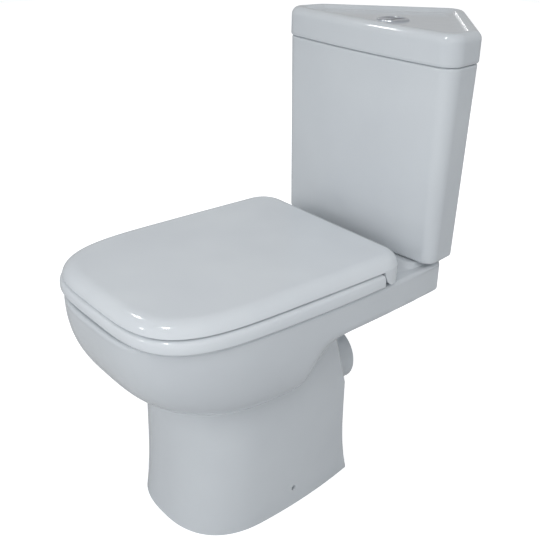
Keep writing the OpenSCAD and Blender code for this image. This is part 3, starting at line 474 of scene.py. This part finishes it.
def tank_line(inset, move=0):
    """Half the wedge, drawn in by inset at its corner arcs and by move at their centres."""
    r1, r2, r3 = (max(r - inset, 1.5) for r in (front_r, end_r, apex_r))
    c1, c2 = front_c + Vector((-move, move)), end_c + Vector((-move, -0.414 * move))
    c3 = apex_c - Vector((0, 1.414 * move))
    join = c1 + Vector((math.sin(bow_turn), -math.cos(bow_turn))) * r1
    half = [(join.x * u, inset + move + (join.y - inset - move) * u * u)
            for u in (0, 0.2, 0.4, 0.6, 0.8, 0.9, 0.985)]

    def arc(centre, r, a0, a1, n):
        return [(centre.x + r * math.cos(a0 + (a1 - a0) * k / n), centre.y + r * math.sin(a0 + (a1 - a0) * k / n))
                for k in range(n + 1)]

    def wall(a, b):
        return [between(a, b, u) for u in (0.02, 0.5, 0.98)]

    quarter = math.pi / 4
    corner = arc(c1, r1, bow_turn - math.pi / 2, end_turn, 16)
    end = arc(c2, r2, end_turn, quarter, 8)
    apex = arc(c3, r3, quarter, 2 * quarter, 10)
    half += corner + wall(corner[-1], end[0]) + end + wall(end[-1], apex[0]) + apex[:-1] + [(0, apex[-1][1])]
    return half


def tank_rings(base, steps):
    """Rings of the wedge for steps of height over base, inset and, where there is one, move."""
    return [loop_at(tank_line(*step[1:]), base + step[0]) for step in steps]


tank_low, tank_joint, tank_floor, tank_wall = 407, 727, 12, 9
cistern_form = loft(
    tank_rings(tank_low, ((0, 12), (0.4, 10), (1.5, 8.4), (3, 7.5), (5, 7), (8, 6.93), (153, 3.6)))
    + tank_rings(tank_joint, ((-6, 0.1), (-3, 0), (-1.6, 0.4), (-0.6, 1.6), (0, 4), (0, tank_wall), (-20, 9.4)))
    + tank_rings(tank_low, ((tank_floor, tank_wall + 7),)))
soft_edges(cistern_form)
piece("cistern_body", cistern_form, "fixed", china, ["cistern"])

# ---- Cistern lid ----
# A loose ceramic lid that oversails the tank by a couple of millimetres. Its top
# edge is rolled over, and inside the roll the top is dished around the button.
lid_top, dish_z, lid_t, lid_over, roll_r = 776, 769, 10, 2, 13
roll_in = roll_r - lid_over
rolled = [(roll_r * math.sin(t), roll_r * (1 - math.cos(t)) - lid_over)
          for t in (math.pi / 16 * k for k in range(1, 9))]
dished = [(dish_z + rise, roll_in, move)
          for rise, move in ((6.9, 2), (6.3, 4), (4.6, 7), (2.3, 10.5), (0.7, 14), (0, 18), (0, 24))]
lid_form = loft(
    tank_rings(dish_z - lid_t, ((0, tank_wall + 4),))
    + tank_rings(tank_joint, ((0, tank_wall + 2), (0, 4), (0.5, 1), (1.6, -0.9), (4, -lid_over), (8, -lid_over)))
    + tank_rings(lid_top - roll_r, [(-3, -lid_over), (0, -lid_over)] + rolled)
    + tank_rings(0, dished))
lid_form = cut(lid_form, rod((0, valve_y, dish_z - 29), (0, valve_y, dish_z + 21), 21, 64))
soft_edges(lid_form)
piece("cistern_cover", lid_form, "fixed", china, ["cistern_lid"])

# ---- Push button ----
# A chromed dual button: a ring that clamps in the lid's hole and two sprung
# halves inside it, the larger for a full flush and the smaller for a short one.
def chrome_finish(name, tone):
    made, tree, shader = finish_of(name, metallic=1.0)
    wear = grain(tree, 60.0, 4.0)
    tint = node(tree, "ShaderNodeValToRGB", {"stops": [(0.3, tuple(c * 0.9 for c in tone)), (0.7, tone)]},
                {"Fac": wear})
    drive(tree, shader, Base_Color=tint, Roughness=0.05 + grain(tree, 160.0) * 0.08)
    return made


chrome = chrome_finish("chrome_plate", linear(214, 218, 224))


def turned(profile, centre, segments=96):
    """A closed ring turned from a profile of radius and height about a vertical axis."""
    bm = bmesh.new()
    points = [bm.verts.new(on_floor(centre[0] + r, centre[1], z)) for r, z in profile]
    edges = [bm.edges.new((p, points[(i + 1) % len(points)])) for i, p in enumerate(points)]
    bmesh.ops.spin(bm, geom=points + edges, cent=on_floor(centre[0], centre[1], 0), axis=(0, 0, 1),
                   angle=math.tau, steps=segments, use_merge=True)
    bmesh.ops.remove_doubles(bm, verts=bm.verts, dist=1e-6)
    bmesh.ops.recalc_face_normals(bm, faces=bm.faces)
    return bm


bezel_side = ((18, 0), (27, 0), (27, 0.7), (26.6, 1.5), (25.6, 2.3), (24, 2.8), (21.5, 3), (19.4, 2.7), (18.4, 2.1),
              (18, 1.3))
bezel = turned([(r, dish_z + rise) for r, rise in bezel_side], (0, valve_y))
soft_edges(bezel, 50)
piece("bezel_ring", bezel, "fixed", chrome, ["button_bezel"])
cap_r, cap_low, cap_top, cap_edge = 17.6, dish_z - 5, dish_z + 2, 0.9
for name, body, split, outward in (("full_cap", "full_push", 3.6, 1), ("half_cap", "half_push", 4.4, -1)):
    cap = rod((0, valve_y, cap_low), (0, valve_y, cap_top), cap_r, 96)
    bmesh.ops.bisect_plane(cap, geom=cap.verts[:] + cap.edges[:] + cap.faces[:],
                           plane_co=on_floor(split, valve_y, 0), plane_no=(outward, 0, 0), clear_outer=True)
    bmesh.ops.edgeloop_fill(cap, edges=[e for e in cap.edges if e.is_boundary])
    top = [e for e in cap.edges if all(v.co.z > (cap_top - 0.1) * MM for v in e.verts)]
    bmesh.ops.bevel(cap, geom=top, offset=cap_edge * MM, offset_type="OFFSET", segments=3, profile=0.5,
                    affect="EDGES", material=-1)
    bmesh.ops.recalc_face_normals(cap, faces=cap.faces)
    soft_edges(cap)
    piece(name, cap, body, chrome, [name.split("_")[0] + "_button"])

# ---- Seat ring ----
# The ring that is sat on, moulded in thick white thermoset plastic. Its outer
# edge is rounded and its opening follows the mouth of the bowl.
def plastic_finish(name, pale, deep):
    made, tree, shader = finish_of(name, coat=0.3, coat_roughness=0.06)
    cloud = grain(tree, 7.0, 2.0)
    tint = node(tree, "ShaderNodeValToRGB", {"stops": [(0.3, deep), (0.7, pale)]}, {"Fac": cloud})
    peel = grain(tree, 650.0, 2.0) * 0.05 + grain(tree, 16.0, 1.0) * 0.5
    bump = node(tree, "ShaderNodeBump", {}, {"Height": peel, "Strength": 0.2, "Distance": 0.001})
    drive(tree, shader, Base_Color=tint, Roughness=0.1 + grain(tree, 30.0) * 0.08, Normal=bump)
    return made


seat_plastic = plastic_finish("seat_plastic", linear(218, 223, 227), linear(212, 217, 222))
seat_y, seat_square, seat_rise = -254.5, 3.9, 5
ring_half_w, ring_front, ring_back, ring_low = 187, -497, -85, 401
hole_half_w, hole_y, hole_reach, hole_back = 108, -295, 147, -165
hinge_y, hinge_z, lug_in, lug_out, lug_r = -51, 419, 45, 66.5, 8.5


def risen(ring):
    """The seat's upper faces rise gently from the front to the hinge."""
    return [(x, y, z + seat_rise * (y - ring_front) / (hinge_y - ring_front)) for x, y, z in ring]


def ring_line(inset, rise):
    ring = loop_at(d_line(ring_half_w - inset, seat_y, seat_y - ring_front - inset, seat_square,
                          ring_half_w - 5.5 - inset, ring_back - inset, 3), ring_low + rise)
    return risen(ring) if rise > 10 else ring


def hole_line(out, rise):
    ring = loop_at(d_line(hole_half_w + out, hole_y, hole_reach + out, 2.5, hole_half_w - 13 + out,
                          hole_back + out, 60), ring_low + rise)
    return risen(ring) if rise > 7 else ring


outer_steps = ((2.5, 0), (1.2, 0.6), (0.3, 1.8), (0, 3.5), (0.1, 9), (0.7, 12), (2, 15), (4, 17.2), (6.6, 18.5),
               (10, 19), (12, 19))
hole_steps = ((18, 19), (16, 19), (11, 18.3), (6, 16), (2.4, 12.6), (0.5, 8), (0, 4), (0.6, 1.4), (2.5, 0))
ring_form = loft([ring_line(*step) for step in outer_steps] + [hole_line(*step) for step in hole_steps], closed=True)
arms = both_sides([(lug_in, ring_back - 10), (lug_out, ring_back - 10), (lug_out, hinge_y), (lug_in, hinge_y)],
                  hinge_z - lug_r, hinge_z)
for side, arm in zip((-1, 1), reversed(arms)):
    lug = rod((side * lug_in, hinge_y, hinge_z), (side * lug_out, hinge_y, hinge_z), lug_r)
    ring_form = cut(ring_form, lug, arm, keep="UNION")
soft_edges(ring_form)
piece("ring_seat", ring_form, "ring", seat_plastic, ["seat_ring"])

# ---- Seat lid ----
# A moulded lid with a flat top and a full round along its edge. Behind, it steps
# down at both sides of the hinge into solid ears that hold the hinge pins.
cover_half_w, cover_reach, cover_back, cover_corner = 181.5, 240, -31.5, 48
cover_low, cover_top, cover_edge_r, cover_t = 423, 442, 24, 6


def cover_line(inset, z):
    return risen(loop_at(d_line(cover_half_w - inset, seat_y, cover_reach - inset, seat_square,
                                cover_half_w - 1 - inset, cover_back - inset, max(cover_corner - inset, 2)), z))


def shrink(ring, share, z, middle=-262):
    """A ring drawn in towards the lid's middle."""
    return risen([(x * share, middle + (y - middle) * share, z) for x, y, h in ring])


def round_edge(r, steps):
    """The lid's edge as a round of this radius, from the sole up to its top."""
    centre = cover_top - cover_edge_r
    start = math.asin((cover_low - centre) / r)
    return [cover_line(cover_edge_r - r * math.cos(t), centre + r * math.sin(t))
            for t in (between(start, math.pi / 2, k / steps) for k in range(steps + 1))]


outer_round, inner_round = round_edge(cover_edge_r, 12), round_edge(cover_edge_r - cover_t, 8)[::-1]
crown = [shrink(outer_round[-1], s, cover_top) for s in (0.985, 0.8, 0.5, 0.2)]
cover_form = loft([shrink(inner_round[0], 0.5, cover_top - cover_t)] + inner_round + outer_round + crown)
# The ears: their side shape ends behind in the arc that clears the deck as the lid turns
ear_x, ear_top, ear_swing = 88.5, cover_low + 6, 20.4
ear_side = [(-89.5, ear_top), (-82, 411), (-79.6, 407.8), (-75, 403.5), (-72, 401.8), (-69, rim_h + 3)]
ear_side += [(hinge_y + ear_swing * math.cos(t), hinge_z + ear_swing * math.sin(t))
             for t in map(math.radians, range(-61, -16, 4))]
ear_side += [(cover_back, ear_top)]
ear_plan = rounded(d_line(cover_half_w - 0.6, seat_y - 0.3, cover_reach - 0.6, seat_square, cover_half_w - 1.6,
                          cover_back - 0.6, cover_corner - 0.8))
for side in (-1, 1):
    block = bmesh.new()
    face = block.faces.new([block.verts.new(on_floor(side * ear_x, y, z)) for y, z in ear_side])
    grown = bmesh.ops.extrude_face_region(block, geom=[face])["geom"]
    bmesh.ops.translate(block, vec=(side * 120 * MM, 0, 0),
                        verts=[g for g in grown if isinstance(g, bmesh.types.BMVert)])
    bmesh.ops.recalc_face_normals(block, faces=block.faces)
    ear = cut(slab(ear_plan, rim_h, ear_top), block, keep="INTERSECT")
    cover_form = cut(cover_form, ear, keep="UNION")
# Notches in the rear skirt that pass the hinge posts
notch_in, notch_out, notch_front, notch_back = lug_out - 1, ear_x - 0.5, hinge_y + 10, hinge_y + 40
notches = both_sides([(notch_in, notch_front), (notch_out, notch_front), (notch_out, notch_back),
                      (notch_in, notch_back)], rim_h, cover_top - 1)
for notch in reversed(notches):
    cover_form = cut(cover_form, notch)
soft_edges(cover_form)
piece("cover_seat", cover_form, "lid", seat_plastic, ["seat_lid"])

# ---- Small fittings ----
# What the solids already give in the right shape: rubber buffers and washers,
# steel bolts and pins, and the white moulded flush and fill gear in the cistern.
def plain_finish(name, tone, roughness, scale, metallic=0.0):
    made, tree, shader = finish_of(name, metallic=metallic)
    tint = node(tree, "ShaderNodeValToRGB", {"stops": [(0.3, tuple(c * 0.86 for c in tone)), (0.7, tone)]},
                {"Fac": grain(tree, scale, 3.0)})
    bump = node(tree, "ShaderNodeBump", {}, {"Height": grain(tree, scale * 6), "Strength": 0.15, "Distance": 0.0005})
    drive(tree, shader, Base_Color=tint, Roughness=roughness + grain(tree, scale * 2) * 0.12, Normal=bump)
    return made


rubber = plain_finish("soft_rubber", linear(66, 66, 69), 0.55, 80.0)
steel = plain_finish("plain_steel", linear(172, 176, 180), 0.24, 120.0, metallic=1.0)
moulding = plain_finish("white_moulding", linear(232, 232, 228), 0.35, 40.0)
blue_moulding = plain_finish("blue_moulding", linear(92, 122, 168), 0.35, 40.0)
fittings = {"rubber": rubber, "steel": steel, "chrome": chrome, "white_plastic": moulding,
            "float_plastic": blue_moulding}
slots = {part["node"]: part["material_slot"] for part in frame["record"]["subparts"]}
for name, made in nodes.items():
    finish = fittings.get(slots[name])
    if finish:
        made.data.materials.clear()
        made.data.materials.append(finish)

# ---- Button springs ----
# Two small coil springs lift the button's halves. Each one stands on the floor of
# the button's housing, and is built here at its rest length.
spring_low, spring_h, coil_r, wire_r, travel = 743, 21, 5.4, 0.6, 6
turns, turn_steps = 6, 24
for name, x in (("full", -10), ("half", 10)):
    rings = []
    for k in range(turns * turn_steps + 1):
        a = math.tau * k / turn_steps
        height = spring_low + wire_r + (spring_h - 2 * wire_r) * k / (turns * turn_steps)
        ring = []
        for b in (math.tau * j / 10 for j in range(10)):
            reach = coil_r + wire_r * math.cos(b)
            ring.append((x + reach * math.cos(a), valve_y + reach * math.sin(a), height + wire_r * math.sin(b)))
        rings.append(ring)
    coil = loft(rings)
    soft_edges(coil, 60)
    coil = piece(name + "_coil", coil, "fixed", steel, [name + "_spring"])
    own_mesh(coil)

# ---- Studio ----
# A pale floor and white surroundings under wide soft lamps that light the glaze
# evenly, and four small ones that only show as bright reflections in it.
world = bpy.data.worlds.new("studio")
scene.world = world
world.use_nodes = True
tree = world.node_tree
path = node(tree, "ShaderNodeLightPath").socket.node
seen = node(tree, "ShaderNodeMath", {"operation": "MAXIMUM"},
            {0: Value(tree, path.outputs["Is Camera Ray"]), 1: Value(tree, path.outputs["Is Transmission Ray"])})
mirrored = Value(tree, path.outputs["Is Glossy Ray"])
backdrop = tree.nodes["Background"]
backdrop.inputs["Color"].default_value = (0.97, 0.985, 1, 1)
tree.links.new((seen * 0.45 - mirrored * 0.1 + 0.55).socket, backdrop.inputs["Strength"])

floor_mesh = bmesh.new()
bmesh.ops.create_grid(floor_mesh, x_segments=2, y_segments=2, size=6)
mesh = bpy.data.meshes.new("floor")
floor_mesh.to_mesh(mesh)
floor_mesh.free()
floor = bpy.data.objects.new("floor", mesh)
scene.collection.objects.link(floor)
floor_paint, tree, shader = finish_of("floor_paint", specular=0.1)
shader.inputs["Roughness"].default_value = 0.7
shader.inputs["Base Color"].default_value = (0.6, 0.61, 0.62, 1)
path = node(tree, "ShaderNodeLightPath").socket.node
glow = node(tree, "ShaderNodeEmission", {}, {"Color": (1, 1, 1, 1), "Strength": 0.72})
lit = node(tree, "ShaderNodeAddShader", {}, {0: Value(tree, shader.outputs[0]), 1: glow})
mix = node(tree, "ShaderNodeMixShader", {}, {0: Value(tree, path.outputs["Is Camera Ray"]),
                                            1: Value(tree, shader.outputs[0]), 2: lit})
tree.links.new(mix.socket, tree.nodes["Material Output"].inputs["Surface"])
mesh.materials.append(floor_paint)


def lamp(name, place, size, watts, mirrored=False, target=(0, 0, 0.4), spread=180):
    """A square lamp that points at the target, and is seen either as light or in reflections."""
    data = bpy.data.lights.new(name, "AREA")
    data.shape, data.size, data.energy, data.spread = "SQUARE", size, watts, math.radians(spread)
    made = bpy.data.objects.new(name, data)
    scene.collection.objects.link(made)
    made.visible_glossy = mirrored
    made.visible_diffuse = not mirrored
    made.visible_camera = False
    aim = Vector(target) - Vector(place)
    made.matrix_world = Matrix.Translation(place) @ aim.to_track_quat("-Z", "Y").to_matrix().to_4x4()


lamp("main_lamp", (1.0, -2.6, 1.8), 1.8, 21)
lamp("low_lamp", (-1.4, -2.0, 0.6), 1.0, 4)
lamp("front_lamp", (1.9, -1.7, 1.1), 1.2, 8)
lamp("side_lamp", (1.0, -0.5, 1.75), 0.7, 4)
lamp("back_lamp", (-1.8, 2.2, 1.3), 1.4, 13)
lamp("spark_lamp", (-0.6, -2.6, 1.9), 0.1, 6, mirrored=True)
lamp("window_lamp", (0.2, -1.2, 2.8), 0.24, 18, mirrored=True)
lamp("roll_lamp", (-1.25, -0.65, 2.13), 0.2, 4, mirrored=True)
lamp("far_lamp", (-2.15, 2.05, 1.36), 0.06, 0.0035, mirrored=True, target=(0.19, 0.19, 0.77), spread=6)
